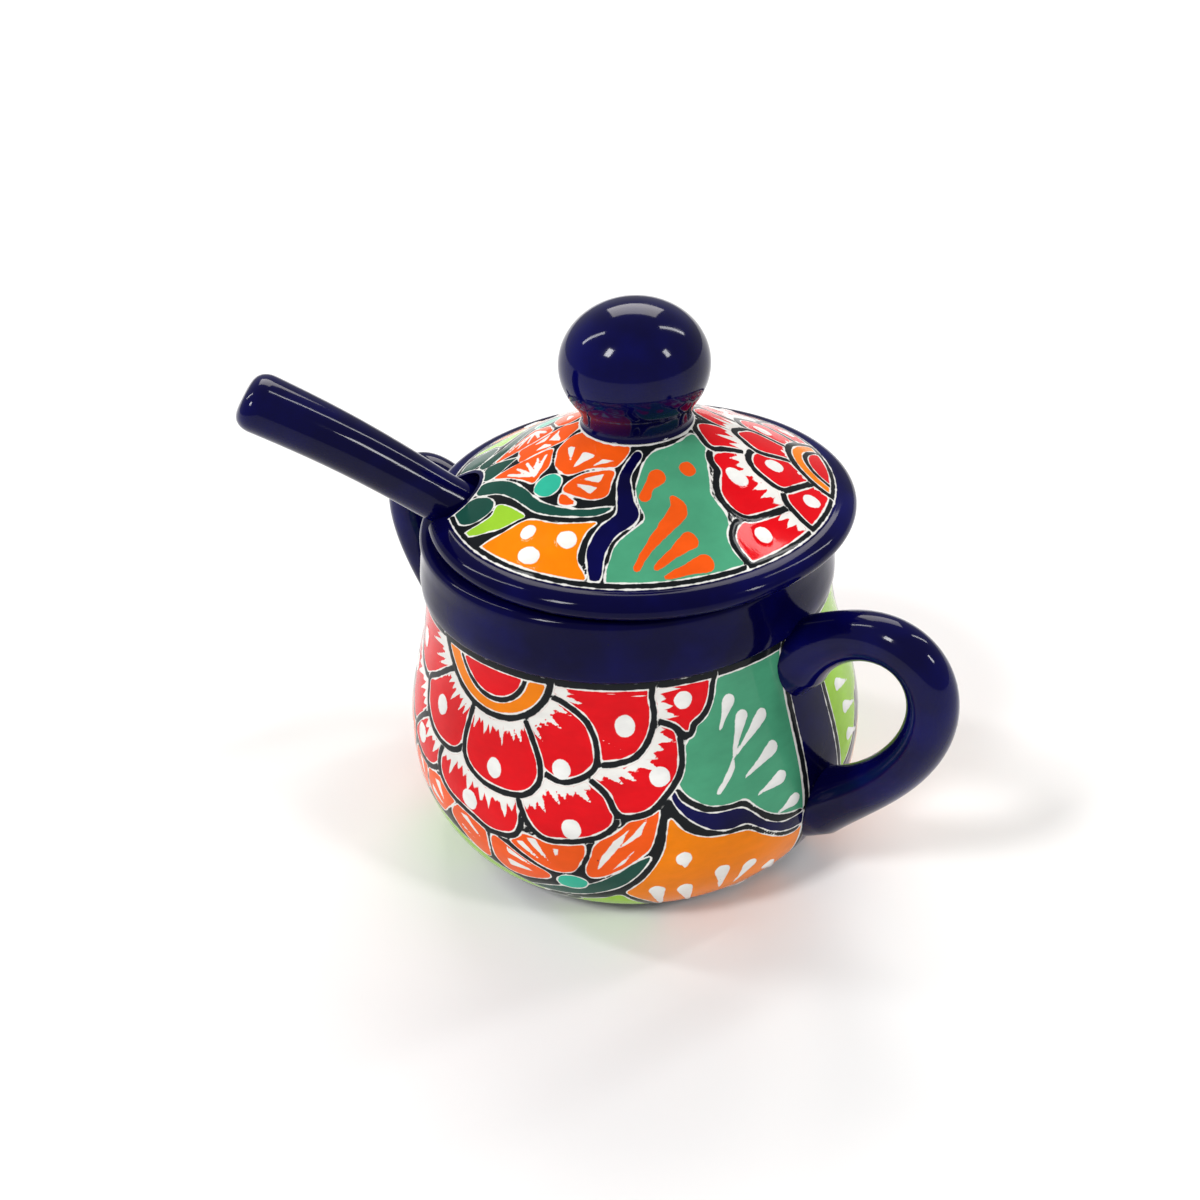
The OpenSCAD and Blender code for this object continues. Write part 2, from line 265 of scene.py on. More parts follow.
# Pattern of the jar's wall, in (degrees round the jar, millimetres up its side)
DAHLIA = np.array([-88.4, 80.5])
DAHLIA_SIZES = ((19.2, 15.2), (12.0, 11.0), (10.4, 9.5))
TOP_PETAL = [(-44.8, 84), (-31.4, 84), (-30.7, 75.7), (-32.6, 70.7), (-35.9, 68.4), (-37, 66.4),
    (-39.2, 69), (-43.1, 71.8), (-44.4, 75.7)]
DAHLIA_ROWS = (
    ([[(-93.7, 64.8), (-87.6, 65.1), (-79.8, 65.7), (-76.8, 64.6), (-75.3, 61.2), (-74, 57.3),
       (-74.4, 53.4), (-77.6, 50.3), (-83.1, 49.3), (-89.2, 49.8), (-93.7, 52.1), (-95.1, 56.2),
       (-94.8, 60.7)],
      [(-75.9, 67.3), (-74.2, 70.7), (-71.4, 72.9), (-66.4, 72.6), (-63.1, 70.1), (-60.9, 66.8),
       (-60, 62.9), (-60.3, 59.8), (-63.1, 57.3), (-67.6, 55.9), (-72, 57.6), (-74.2, 60.9),
       (-74.8, 64.2)],
      [(-69, 81), (-65.3, 84), (-47.6, 84), (-46.2, 75.7), (-45.9, 70.7), (-47.6, 65.7), (-50.9, 62.3),
       (-56.4, 61), (-58.1, 61.6), (-59.2, 65.7), (-60.9, 70.3), (-64.2, 74.2), (-68.3, 76.4)],
      [(-116.1, 61.8), (-112.6, 64), (-108.1, 67.3), (-104.2, 69.2), (-100.9, 67.3), (-97.2, 64.4),
       (-96.6, 60), (-96.8, 56.2), (-99.2, 53.1), (-104.2, 52), (-109.8, 53), (-114.2, 56.2),
       (-115.7, 59.6)],
      [(-108, 81), (-111.5, 84), (-129.2, 84), (-130.6, 75.7), (-130.9, 70.7), (-129.2, 66),
       (-125.9, 63.4), (-120.4, 62.4), (-117.7, 63.4), (-113, 66.2), (-109, 69.6), (-106.6, 71.6),
       (-107.6, 76)]],
     (6.5, 6.5, 9.5, 7, 9.5)),
    ([TOP_PETAL,
      [(-58.7, 57.9), (-54.2, 60.1), (-47.6, 62.9), (-44.2, 67.3), (-42.6, 69.2), (-40.3, 66.8),
       (-39.8, 62.3), (-40.6, 57.3), (-43.9, 52.9), (-47.6, 49.4), (-52, 48.4), (-54, 49.2), (-54.6, 52.3),
       (-57.3, 54.9)],
      [(-76.8, 47.9), (-74.2, 50.3), (-69.8, 53.7), (-63.1, 54.8), (-58.7, 54.6), (-56.1, 52.3),
       (-55.6, 47.9), (-56.6, 45.1), (-60.9, 42.3), (-67.6, 40.6), (-72, 40.6), (-75.3, 43.4)],
      [(-104.2, 47.9), (-102, 50.5), (-97.6, 52.2), (-95.9, 51.4), (-92, 48.4), (-85.3, 47.3),
       (-79.8, 47.9), (-78.6, 44.6), (-78.9, 40.7), (-80.9, 38.1), (-86.4, 37), (-92, 38.6), (-99.8, 40.3),
       (-103.7, 43.4)],
      [(-121.4, 44.6), (-117.6, 49.3), (-113.7, 51.6), (-109.8, 51.3), (-105.8, 50.2), (-105.8, 47.1),
       (-107, 43.8), (-110.3, 42), (-115.3, 41.6), (-119.8, 42.9)],
      [(2 * DAHLIA[0] - x, y) for x, y in TOP_PETAL],
      [(-117.6, 55.4), (-119.4, 60.6), (-127, 61.6), (-132.6, 67.3), (-134.2, 69.2), (-136.5, 66.8),
       (-137, 62.3), (-136.2, 57.3), (-132.9, 52.9), (-129.2, 49.4), (-124, 46.6), (-121, 48.4)]],
     (6, 6, 6, 6.5, 6, 6, 6)),
)
DAHLIA_DOTS = ((-85.6, 53.4, 2.1, 2.6), (-67.6, 57.8, 2.3, 2.5), (-52, 69.2, 2.5, 2.7),
    (-37.4, 74.1, 2.3, 2.2), (-44.4, 56.7, 2.4, 2.4), (-65.1, 43.4, 2.3, 2.6), (-92.7, 41.8, 2.5, 2.7),
    (-107.3, 59.9, 2.4, 2.6), (-116.2, 46.6, 2.6, 2.6), (-125, 69.2, 2.5, 2.7), (-139.6, 74.1, 2.3, 2.2),
    (-132.6, 57, 2.4, 2.4))
CORNER = [(-29.8, 84), (-30, 75.7), (-32, 70.7), (-35.3, 67.7), (-37, 64), (-38.7, 61.2), (-39.2, 57.9),
    (-40.1, 54.6), (-38.7, 51.8), (-36.4, 49.6), (-33.1, 47.6), (-28.7, 46.8), (-24.8, 46.6), (-22, 43.6),
    (-18.7, 40.4), (-14.2, 37.8), (-9.8, 36.6), (-4, 36.8), (-4, 84)]
WAVE = [(-42.6, 53.4), (-41.4, 52.9), (-39.8, 49.8), (-35.3, 46.4), (-31.4, 45.3), (-26.4, 44.8),
    (-23.9, 43), (-19.8, 38.5), (-14.2, 35.3), (-4, 34.2), (-4, 31.2), (-12, 31.6), (-17.6, 34.2),
    (-22.6, 38.4), (-25.3, 40.2), (-29.8, 40.3), (-34.2, 41.9), (-38.7, 45.7), (-41.4, 49.6)]
SKIRT = [(-42.6, 46.2), (-39.8, 42.5), (-35.3, 39.8), (-29.8, 38.7), (-24.8, 38), (-20.9, 34.9),
    (-15.3, 30.9), (-10.9, 29.4), (-4, 28.8), (-4, -4), (-36, -6), (-41, 2), (-44, 10), (-47.6, 16.8),
    (-51, 20.4), (-53.4, 23.4), (-52, 25.6), (-49.2, 29), (-45.9, 34.6), (-44.2, 39), (-43.4, 44)]
LOW_PATCHES = (
    ("lime", [(-127, 26), (-116, 29), (-100, 27), (-86, 22), (-70, 17), (-60, 19.4), (-55.3, 22),
        (-53, 19.4), (-49.4, 14.6), (-46, 8), (-43, 0), (-42, -6), (-140, -6), (-136, 8)]),
    ("vermilion", [(-78.9, 38.2), (-76.4, 39.2), (-72, 38.6), (-65.3, 39.2), (-62.6, 39.8), (-62.2, 37.5),
        (-63.3, 34.6), (-65.3, 30.9), (-68.7, 29.6), (-72, 30.1), (-76.4, 32.5), (-80.6, 35.6)]),
    ("vermilion", [(-59.6, 40.1), (-55.3, 43.1), (-52, 46), (-48.7, 48), (-45.3, 48.8), (-45.9, 44.6),
        (-47.6, 39), (-50.3, 36.2), (-54.2, 32.9), (-58.7, 30), (-61.6, 29.6), (-62.2, 32.3),
        (-60.9, 36.2)]),
    ("vermilion", [(-86.2, 34.4), (-83.1, 34.1), (-76.4, 30.3), (-71.8, 27.9), (-72.2, 25.8),
        (-76.4, 23.8), (-80.9, 22.8), (-84.2, 23.2), (-86.4, 26), (-86.8, 29)]),
    ("vermilion", [(-97.3, 37.5), (-93.7, 36.8), (-89.2, 35.3), (-88, 34), (-88.2, 29), (-89.2, 25),
        (-93.1, 25.6), (-98, 29.4), (-100.3, 33.4)]),
    ("vermilion", [(-110.3, 40), (-104.2, 41), (-99.8, 39.2), (-98.5, 37.9), (-102, 33.6), (-105.4, 30.4),
        (-110.9, 31.6), (-111.4, 36.8)]),
    ("vermilion", [(-118.7, 40.6), (-112.6, 39.8), (-112.8, 35.7), (-113.3, 31.6), (-120.4, 31.4),
        (-121.4, 38)]),
    ("vermilion", [(-123, 44), (-122.8, 38), (-122.4, 31.4), (-126.4, 28.6), (-131.4, 33.6), (-133.4, 42),
        (-134.8, 48), (-131, 48.4), (-127, 45.4)]),
    ("dark_green", [(-47.6, 36.4), (-50.3, 31.4), (-54.2, 26.9), (-58.7, 23.8), (-65.3, 20.6),
        (-73.1, 18.9), (-78, 19.4), (-72, 22.3), (-66.4, 24.4), (-60.9, 27), (-55.3, 31.2),
        (-51.4, 34.6)]),
    ("teal", [(-69.8, 26.2), (-68.4, 28.2), (-66, 28.9), (-63.6, 28.4), (-62.4, 26.9), (-63.6, 24.6),
        (-66.4, 23.6), (-69, 24.2)]),
)
LOW_LEAF = [(-66, 17.4, 0.8), (-76, 14, 3.2), (-88, 12.6, 3.8), (-100, 15, 2.8), (-108, 21, 0.7)]
LOW_WEDGES = (
    [(-76.6, 38.2), (-74, 38.6), (-70.4, 31.6)], [(-79.2, 36), (-77.4, 36.8), (-72.4, 31.6)],
    [(-69.9, 36.8), (-68.4, 37.2), (-69, 33.6)], [(-48, 46.8), (-49.4, 42.6), (-54.2, 39.4)],
    [(-51.8, 44.6), (-55.3, 41.4), (-58.4, 36.8), (-60, 31.6), (-57.9, 34.6), (-54.6, 39.4)],
    [(-50.2, 39.8), (-53.4, 34.9), (-56.8, 32.1)], [(-82.4, 33.2), (-82.2, 31), (-74.4, 28.6)],
    [(-82.8, 28.8), (-82.4, 26), (-74.8, 27)], [(-96.6, 35.6), (-94, 35.8), (-89.6, 30.6)],
    [(-98, 32.4), (-96, 30.6), (-90, 28)], [(-107.8, 38.8), (-105, 39.4), (-103.4, 34)],
    [(-110, 36), (-109.6, 33.4), (-104, 32.4)], [(-117.8, 39), (-115.4, 39), (-114.6, 33.4)],
    [(-129, 41), (-126.4, 43), (-124.4, 35)],
)
GREEN_COMMAS = (((-25.6, 71), (-28.6, 64.8)), ((-22.6, 66.2), (-26.4, 57.2)), ((-17, 64.5), (-26.2, 57.4)),
    ((-15.6, 55.9), (-24, 51.8)), ((-14.8, 47.9), (-21.3, 46.4)), ((-11.5, 40.1), (-16.5, 39)))
ORANGE_COMMAS = (((-40.2, 34.8), (-39.8, 32)), ((-46.4, 24.2), (-45, 13)), ((-39.8, 23.4), (-37.6, 12)),
    ((-30.9, 27.6), (-30.6, 19)), ((-23.7, 26), (-26.6, 19.5)), ((-17, 20.8), (-12.5, 14)),
    ((-22, 12.5), (-27, 9.5)))
GREEN_STEM = [(-26.4, 57, 0.35), (-27.4, 54.6, 0.75), (-31, 50.2, 0.55)]
GREEN_COMMA_R, LIME_COMMA_R, ORANGE_COMMA_R = 1.75, 1.6, 1.9
LIME_COMMAS, LIME_TOP, LIME_TAIL = 5, (-14.0, 71.0), (-7.0, -3.2)
LIME_STAGGER, LIME_STEP = 1.2, 7.2


def paint_wall(angle, side, side_top):
    """The wall's painting. Both halves between the handles carry the same panel."""
    points = np.stack([(angle - PANEL_START) % PANEL_SPAN + PANEL_START, side], 1)
    mirrored = np.stack([2 * PANEL_MIDDLE - points[:, 0], side], 1)
    limit = side - side_top + COLLAR_LINE
    work = Painting(points)
    for place, corner in ((points, "sea_green"), (mirrored, "lime")):
        work.patch(corner, np.maximum(field(place, CORNER), limit))
        work.patch("cobalt", field(place, WAVE))
        work.patch("orange", field(place, SKIRT))
    for paint, outline in LOW_PATCHES:
        work.patch(paint, field(points, outline))
    for outline in LOW_WEDGES:
        work.lay("white", field(points, outline, smooth=False))
    work.motif("dark_green", stroke(points, LOW_LEAF))
    work.flower(DAHLIA, DAHLIA_ROWS, limit, *(dot(points, *DAHLIA, *size) for size in DAHLIA_SIZES))
    for place in DAHLIA_DOTS:
        work.lay("slip", dot(points, *place))
    for head, tail in GREEN_COMMAS:
        work.comma(head, tail, GREEN_COMMA_R)
    work.lay("slip", stroke(points, GREEN_STEM))
    for step in range(LIME_COMMAS):
        head = np.array(LIME_TOP) - (LIME_STAGGER * (step % 2), LIME_STEP * step)
        work.comma(head, head + LIME_TAIL, LIME_COMMA_R, mirrored)
    for place in (points, mirrored):
        for head, tail in ORANGE_COMMAS:
            work.comma(head, tail, ORANGE_COMMA_R, place)
    from_handle = np.abs((angle - PANEL_MIDDLE) % PANEL_SPAN + PANEL_MIDDLE)
    work.motif("cobalt", from_handle - HANDLE_STRIP)
    collar = side_top - GLAZE_RUN - side
    work.cover(collar + COLLAR_LAP)
    work.lay("cobalt", collar)
    work.motif("cobalt", side - FOOT_BAND)
    return work.layers


# Pattern of the lid's top, in millimetres from the lid's centre, seen from above
LID_AXIS = NOTCH_ANGLE - 180
LID_DAHLIA_R, LID_EDGE_LINE, NECK_MARGIN = 49.5, 1.9, 0.8
LID_SIZES = (15.4, 11.2, 9.8)
LID_DAHLIA = turn(LID_AXIS) @ np.array([LID_DAHLIA_R, 0.0])
LID_EDGE = RIM_TOP_R - LID_EDGE_LINE
LID_PATCHES = (
    ("sea_green", [(14.2, 2.2), (18.2, 1.4), (21.1, -2.2), (24, -5.4), (26.5, -8.3), (31.1, -9.7),
        (33.6, -11.9), (37.6, -15.4), (42.5, -17.4), (40, -27), (32, -36), (23.3, -39), (20.4, -36.5),
        (19.4, -34), (18.4, -30.4), (19.9, -24), (19.4, -22.2), (16.9, -20.8), (14.4, -18.6),
        (12.9, -15.4), (11.9, -12.4), (11.9, -9), (13.4, -5.4), (14, -2)]),
    ("cobalt", [(8.8, -11.6), (9, -16.3), (10, -19.4), (12.2, -22.4), (14.1, -25), (13.9, -26.9),
        (13.1, -29), (13.1, -32), (14, -35), (16.2, -37.6), (20.4, -41), (19.9, -37.8), (18, -34.4),
        (17.1, -31.1), (17.4, -28.3), (18.7, -25.1), (18.2, -22.7), (15.7, -21), (13.4, -19),
        (11.4, -16.6), (10.5, -11.6)]),
    ("orange", [(11.7, -29.1), (11.1, -31.4), (11.7, -34.7), (13.3, -37.6), (17.6, -40.4), (13.3, -45),
        (1.9, -48), (-10, -45), (-9.6, -41.9), (-6.7, -38.3), (-4.2, -35.1), (-1.7, -33.9), (3.3, -33.1),
        (8.3, -31)]),
    ("lime", [(-13.5, -32.5), (-5.2, -33.6), (-5.9, -35), (-7.9, -37.2), (-9.2, -38.2), (-11, -39),
        (-13.9, -40.5), (-17.4, -41), (-15, -37.8), (-13.4, -35.4)]),
    ("dark_green", [(-24.4, -32.9), (-22.4, -31.2), (-18.9, -31), (-15.6, -32.2), (-14.8, -34.4),
        (-16.2, -37), (-18.9, -38.4), (-22.1, -38), (-25.5, -36.4)]),
    ("dark_green", [(-23.5, -26.5), (-18.9, -26), (-13.9, -26.7), (-9.6, -27.9), (-5.3, -29.4),
        (-1, -29.9), (3.3, -29.3), (7.6, -27.8), (12.6, -24.6), (11.1, -27.4), (7.6, -29.5), (2.6, -31.4),
        (-2.4, -32.2), (-6.7, -31.5), (-11, -30.4), (-16.7, -29.7), (-22.4, -30.4), (-24.4, -28.4)]),
    ("dark_green", [(-24, -14), (-20.6, -16.5), (-21.3, -21), (-22.6, -24.8), (-25, -25.8), (-30, -22)]),
    ("vermilion", [(-9.4, -16.2), (-8.6, -13), (-6, -11.5), (-2, -12), (3, -12), (7.2, -11.6),
        (7.6, -16.1), (5.6, -17.8), (2.1, -19.6), (-0.8, -22), (-3.1, -22.3), (-6.4, -21), (-8.2, -18.6)]),
    ("vermilion", [(-0.4, -24.6), (1.3, -21.6), (5.2, -18.8), (7.8, -17.8), (8.8, -20.2), (9.8, -23),
        (7.6, -25.2), (4, -26), (0.4, -26.1)]),
    ("vermilion", [(0, -26.9), (1.7, -26.8), (4.8, -27.6), (1.5, -28.9)]),
    ("vermilion", [(-22, -25.2), (-20.2, -22.6), (-16.2, -19.4), (-11.7, -16.5), (-9.8, -18.6),
        (-8.2, -21.3), (-8.7, -23.6), (-8.9, -26), (-12.4, -25.6), (-16.7, -25.2)]),
    ("vermilion", [(-20.6, -16.6), (-19, -11), (-14.7, -8), (-9, -9.4), (-9.4, -12), (-10, -14),
        (-12.4, -15.8), (-15.4, -18), (-18.4, -20.2)]),
    ("teal", [(-7.8, -25.9), (-6.9, -23.8), (-4.6, -23), (-2.3, -23.8), (-1.5, -25.9), (-2.3, -27.8),
        (-4.6, -28.6), (-6.9, -27.8)]),
)
LID_ROWS = (
    ([[(14, 20), (17, 15.7), (19.7, 14.8), (23.2, 14.8), (25, 17.5), (26.4, 21), (24, 26)],
      [(24.9, 16.7), (26.5, 18.7), (29.7, 18.9), (32.9, 18), (34, 16), (34, 11), (33.3, 8.5), (30.4, 7.8),
       (26.9, 8.1), (24.7, 10.3), (24.1, 13.1)],
      [(35.4, 17.4), (37.2, 19.2), (40.1, 19.9), (43, 16.7), (45, 12.4), (46, 7.4), (44, 5.3), (39.7, 5.6),
       (36.5, 6.7), (35.1, 9.6), (34.9, 13.9)]],
     (1, 1, 1)),
    ([[(12.4, 7.4), (13.6, 11), (15.6, 13.4), (19.4, 13.4), (23, 12.9), (23.4, 10.3), (21.1, 8.9),
       (19.4, 6), (18.3, 3.6), (15.4, 4.4), (13.3, 5.6)],
      [(20.4, 2.4), (21.5, 5.3), (23.6, 7.6), (25.8, 7.3), (28.3, 5.9), (31.9, 5.3), (34.7, 5.1),
       (37, 3.9), (36.5, 1), (35.4, -2.6), (34, -6.1), (31.1, -7), (27.9, -6), (25.8, -3.6), (24, -0.8),
       (21.5, 0.1)],
      [(37.9, 3.3), (41.1, 3), (45, 2.4), (46, -3.3), (46, -9), (44, -13.9), (39.7, -14.1), (36.5, -12.9),
       (35.1, -10.4), (35.1, -7.6), (36.5, -3.3), (37.4, 0.3)]],
     (6, 6.5, 6)),
)
LID_WEDGES = (
    [(-7.5, -15.6), (-5.1, -15.6), (-3.4, -19.4)], [(-2.2, -16.2), (1.6, -16.4), (-1.8, -20.6)],
    [(3.4, -16.6), (6.6, -15.6), (2.4, -18.8)], [(2, -22.4), (6.2, -19.2), (6.4, -21.4)],
    [(1.3, -23.8), (6.9, -22.4), (6.3, -24.4)], [(-15.8, -13.6), (-13.6, -11.6), (-11.3, -13.8)],
    [(-16.4, -17), (-15.4, -14.6), (-12.4, -15.4)], [(4.2, -26.7), (8.6, -25.4), (5.6, -27.6)],
)
LID_RAY_ROOT, LID_RAY_WIDTHS = (-9.8, -24.4), (0.15, 0.42, 0.3)
LID_RAYS = ((-18.4, -24.4), (-17.2, -22.6), (-15.4, -20.9), (-13.4, -19.2), (-11.6, -18.4))
LID_DOTS = ((28.4, 13.3, 1.9, 2.3), (39.3, 11.8, 1.9, 2.2), (27, 0.8, 2.7, 2.1), (39.2, -7.2, 1.9, 1.9),
    (-1.1, -36.7, 1.7, 1.7), (8.4, -34.9, 2.4, 1.8), (2.8, -41.1, 2.7, 1.9))
LID_SPRIG_DOT = (19.4, -7.1, 1.8)
LID_SPRIG = ([(16.1, -13.6, 1.9), (16.2, -16.4, 1.1), (16.8, -18.8, 1.2)],
    [(21.4, -15.2, 0.6), (24, -16.6, 1.9), (24.3, -22, 1.5), (24.3, -27, 1.0), (24.9, -32.2, 0.8)],
    [(29.7, -20.6, 1.9), (28.9, -25, 1.1), (28.1, -29.7, 0.7)],
    [(35, -22.2, 1.9), (33, -26, 1.2), (30.8, -30, 0.5)])


def paint_lid(plan):
    """The lid's painting, the same on both sides of the spoon's plane."""
    side = turn(LID_AXIS) @ np.array([0.0, -1.0])
    off = plan @ side
    points = plan - np.minimum(off, 0)[:, None] * 2 * side
    radius = np.linalg.norm(plan, axis=1)
    limit = radius - LID_EDGE
    work = Painting(points)
    for paint, outline in LID_PATCHES:
        work.patch(paint, np.maximum(field(points, outline), limit))
    for outline in LID_WEDGES:
        work.lay("white", field(points, outline, smooth=False))
    for tip in LID_RAYS:
        places = (LID_RAY_ROOT, 0.5 * np.add(LID_RAY_ROOT, tip), tip)
        work.lay("white", stroke(points, [(*place, width) for place, width in zip(places, LID_RAY_WIDTHS)]))
    from_eye = np.linalg.norm(points - LID_DAHLIA, axis=1)
    work.flower(LID_DAHLIA, LID_ROWS, limit, *(from_eye - size for size in LID_SIZES))
    work.lay("vermilion", dot(points, *LID_SPRIG_DOT))
    for knots in LID_SPRIG:
        work.lay("vermilion", stroke(points, knots))
    for place in LID_DOTS:
        work.lay("slip", dot(points, *place))
    work.cover(radius - KNOB_NECK_R - NECK_MARGIN)
    work.patch("cobalt", RIM_TOP_R - GLAZE_RUN - radius)
    return work


# Meshes
CREASE, ROLL_CREASE = 42, 60


def circle(count):
    """Angles of evenly spaced points round a circle."""
    return np.arange(count) * 2 * np.pi / count


def arc(centre, rx, rz, start, stop, count):
    """Points of an elliptical arc in a profile, from one angle to another."""
    a = np.radians(np.linspace(start, stop, count))
    return np.stack([centre[0] + rx * np.cos(a), centre[1] + rz * np.sin(a)], 1)


def lengths(points):
    """The length along a polyline at each of its points."""
    return np.concatenate([[0], np.cumsum(np.linalg.norm(np.diff(points, axis=0), axis=1))])


def even(points, step):
    """A polyline resampled at about equal steps, with the length along it at each point."""
    length = lengths(points)
    at = np.linspace(0, length[-1], max(2, round(length[-1] / step) + 1))
    return np.stack([np.interp(at, length, points[:, k]) for k in (0, 1)], 1), at


def link(name, vertices, faces):
    """A new object with a mesh, from vertices in millimetres."""
    mesh = bpy.data.meshes.new(name)
    mesh.from_pydata((np.asarray(vertices) * MM).tolist(), [], faces)
    mesh.validate()
    made = bpy.data.objects.new(name, mesh)
    bpy.context.scene.collection.objects.link(made)
    return made


def grid_faces(rows, columns, close_rows=False):
    """Quads over rings of points, each ring closed on itself."""
    faces = []
    for i in range(rows if close_rows else rows - 1):
        k = (i + 1) % rows
        for j in range(columns):
            n = (j + 1) % columns
            faces.append((i * columns + j, i * columns + n, k * columns + n, k * columns + j))
    return faces


def tube_faces(rows, columns):
    """Quads over rings of points, with one face over each end."""
    ends = [tuple(range(columns))[::-1], tuple(range((rows - 1) * columns, rows * columns))]
    return grid_faces(rows, columns) + ends


def revolve(profile, columns):
    """Vertices and faces of a profile turned about Z; an end of it on the axis becomes a pole."""
    a = circle(columns)
    low, high = profile[0][0] < TINY, profile[-1][0] < TINY
    rings = profile[int(low):len(profile) - int(high)]
    r, z = rings[:, :1], rings[:, 1:]
    vertices = np.stack([r * np.cos(a), r * np.sin(a), z + 0 * a], -1).reshape(-1, 3)
    faces = grid_faces(len(rings), columns, close_rows=not (low or high))
    if low:
        faces += [(len(vertices), (j + 1) % columns, j) for j in range(columns)]
        vertices = np.vstack([vertices, [0, 0, profile[0][1]]])
    if high:
        top = (len(rings) - 1) * columns
        faces += [(len(vertices), top + j, top + (j + 1) % columns) for j in range(columns)]
        vertices = np.vstack([vertices, [0, 0, profile[-1][1]]])
    return vertices, faces


def smooth(piece, angle=CREASE):
    """Smooth shading, with edges kept where faces meet at more than the angle."""
    piece.data.polygons.foreach_set("use_smooth", np.ones(len(piece.data.polygons), bool))
    piece.data.set_sharp_from_angle(angle=math.radians(angle))


def store(piece, layers):
    """Keeps each paint's signed distance at the mesh's points."""
    for name, values in layers.items():
        kept = piece.data.attributes.new(name, "FLOAT", "POINT")
        kept.data.foreach_set("value", values.astype(np.float32))


def relief(layers):
    """How far trailed slip and drawn lines stand out of the glaze."""
    slip = np.clip(-layers["slip"] / SLIP_ROUND, 0, 1) ** 0.5
    return SLIP_RELIEF * slip + INK_RELIEF * np.clip(-layers["ink"] / INK_ROUND, 0, 1)


def combine(piece, other, operation):
    """Applies a boolean of two closed meshes to the first one and removes the second."""
    modifier = piece.modifiers.new("shape", "BOOLEAN")
    modifier.operation, modifier.solver, modifier.object = operation, "EXACT", other
    bpy.context.view_layer.update()
    made = bpy.data.meshes.new_from_object(piece.evaluated_get(bpy.context.evaluated_depsgraph_get()))
    piece.modifiers.clear()
    old, piece.data = piece.data, made
    bpy.data.meshes.remove(old)
    bpy.data.objects.remove(other)


def place_piece(piece, node, body, slot, *materials):
    """Puts a finished piece in the part in place of its solid."""
    for material in materials:
        piece.data.materials.append(material)
    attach(piece, body)
    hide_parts(node)


# Materials: scales in cycles per metre, bump heights in metres, ranges of noise and what they become
GLAZE_IOR, GLAZE_SPECULAR, COBALT_SPECULAR = 1.5, 0.10, 0.17
WIDE, MIDDLE = (0.25, 0.75), (0.3, 0.7)
POOL_SCALE, POOL_TONE = 45, (0.82, 1.1)
GLOSS_SCALE, GLOSS = 160, (0.045, 0.11)
RIPPLE_SCALE, RIPPLE_STRENGTH, RIPPLE_H = 70, 0.12, 0.001
THIN_SCALE, THIN_RANGE, COBALT_THIN = 42, (0.42, 0.72), (0.0022, 0.0026, 0.085)
SLIP_GROUND = (0.87, 0.86, 0.82)
BRUSH_SCALE, BRUSH_DRIFT, EDGE_SOFT = 420, (-0.16, 0.16), (-0.09, 0.09)
WASH_SCALE, WASH_STRETCH, WASH_TONE = 130, (1, 1, 2.5), (0.93, 1.05)
SPECK_SCALE, SPECK_SIZE, SPECK_COVER = 105, (0.018, 0.03), (0.75, 0.0)
CLAY_SCALE, CLAY_ROUGHNESS, PIT_STRENGTH, PIT_H = 900, 0.75, 0.3, 0.0003
CLAY_DARK, CLAY_LIGHT = (0.42, 0.17, 0.075), (0.56, 0.27, 0.13)
FLOOR_SCALE, FLOOR_ROUGHNESS = 8, 0.6
FLOOR_DARK, FLOOR_LIGHT = (0.86, 0.86, 0.86), (0.89, 0.89, 0.89)


def add(tree, kind, inputs=None, **settings):
    """Adds a shader node with its settings and its inputs, each a value or a socket to link."""
    made = tree.nodes.new(kind)
    for name, value in settings.items():
        setattr(made, name, value)
    for name, value in (inputs or {}).items():
        if isinstance(value, bpy.types.NodeSocket):
            tree.links.new(value, made.inputs[name])
        else:
            made.inputs[name].default_value = value
    return made


def new_material(name):
    """A material with its tree and its shader, which reflects as the glaze does."""
    material = bpy.data.materials.new(name)
    material.use_nodes = True
    shader = material.node_tree.nodes["Principled BSDF"]
    shader.inputs["IOR"].default_value = GLAZE_IOR
    shader.inputs["Specular IOR Level"].default_value = GLAZE_SPECULAR
    return material, material.node_tree, shader


def noise(tree, scale, detail=3.0, roughness=0.5, stretch=(1, 1, 1)):
    """Noise over the object's own coordinates."""
    where = add(tree, "ShaderNodeTexCoord").outputs["Object"]
    mapped = add(tree, "ShaderNodeMapping", {"Vector": where, "Scale": stretch})
    inputs = {"Vector": mapped.outputs[0], "Scale": scale, "Detail": detail, "Roughness": roughness}
    return add(tree, "ShaderNodeTexNoise", inputs).outputs["Fac"]


def ranged(tree, value, source, target=(0.0, 1.0), kind="LINEAR"):
    """A value carried from one range to another."""
    inputs = {"Value": value, "From Min": source[0], "From Max": source[1],
              "To Min": target[0], "To Max": target[1]}
    return add(tree, "ShaderNodeMapRange", inputs, interpolation_type=kind).outputs["Result"]


def mixed(tree, factor, first, second):
    """Two colours mixed by a factor; each is a socket or a colour."""
    first, second = ((*colour, 1) if isinstance(colour, tuple) else colour for colour in (first, second))
    return add(tree, "ShaderNodeMix", {0: factor, 6: first, 7: second}, data_type="RGBA").outputs[2]


def glaze_surface(tree, shader, colour):
    """Glaze over a colour: pooled tone, uneven gloss and the ripples of a fired coat."""
    pool = ranged(tree, noise(tree, POOL_SCALE, detail=4), WIDE, POOL_TONE)
    toned = add(tree, "ShaderNodeHueSaturation", {"Color": colour, "Value": pool})
    gloss = ranged(tree, noise(tree, GLOSS_SCALE, detail=4), MIDDLE, GLOSS)
    height = noise(tree, RIPPLE_SCALE, detail=2)
    ripples = add(tree, "ShaderNodeBump",
                  {"Height": height, "Strength": RIPPLE_STRENGTH, "Distance": RIPPLE_H})
    tree.links.new(toned.outputs[0], shader.inputs["Base Color"])
    tree.links.new(gloss, shader.inputs["Roughness"])
    tree.links.new(ripples.outputs[0], shader.inputs["Normal"])


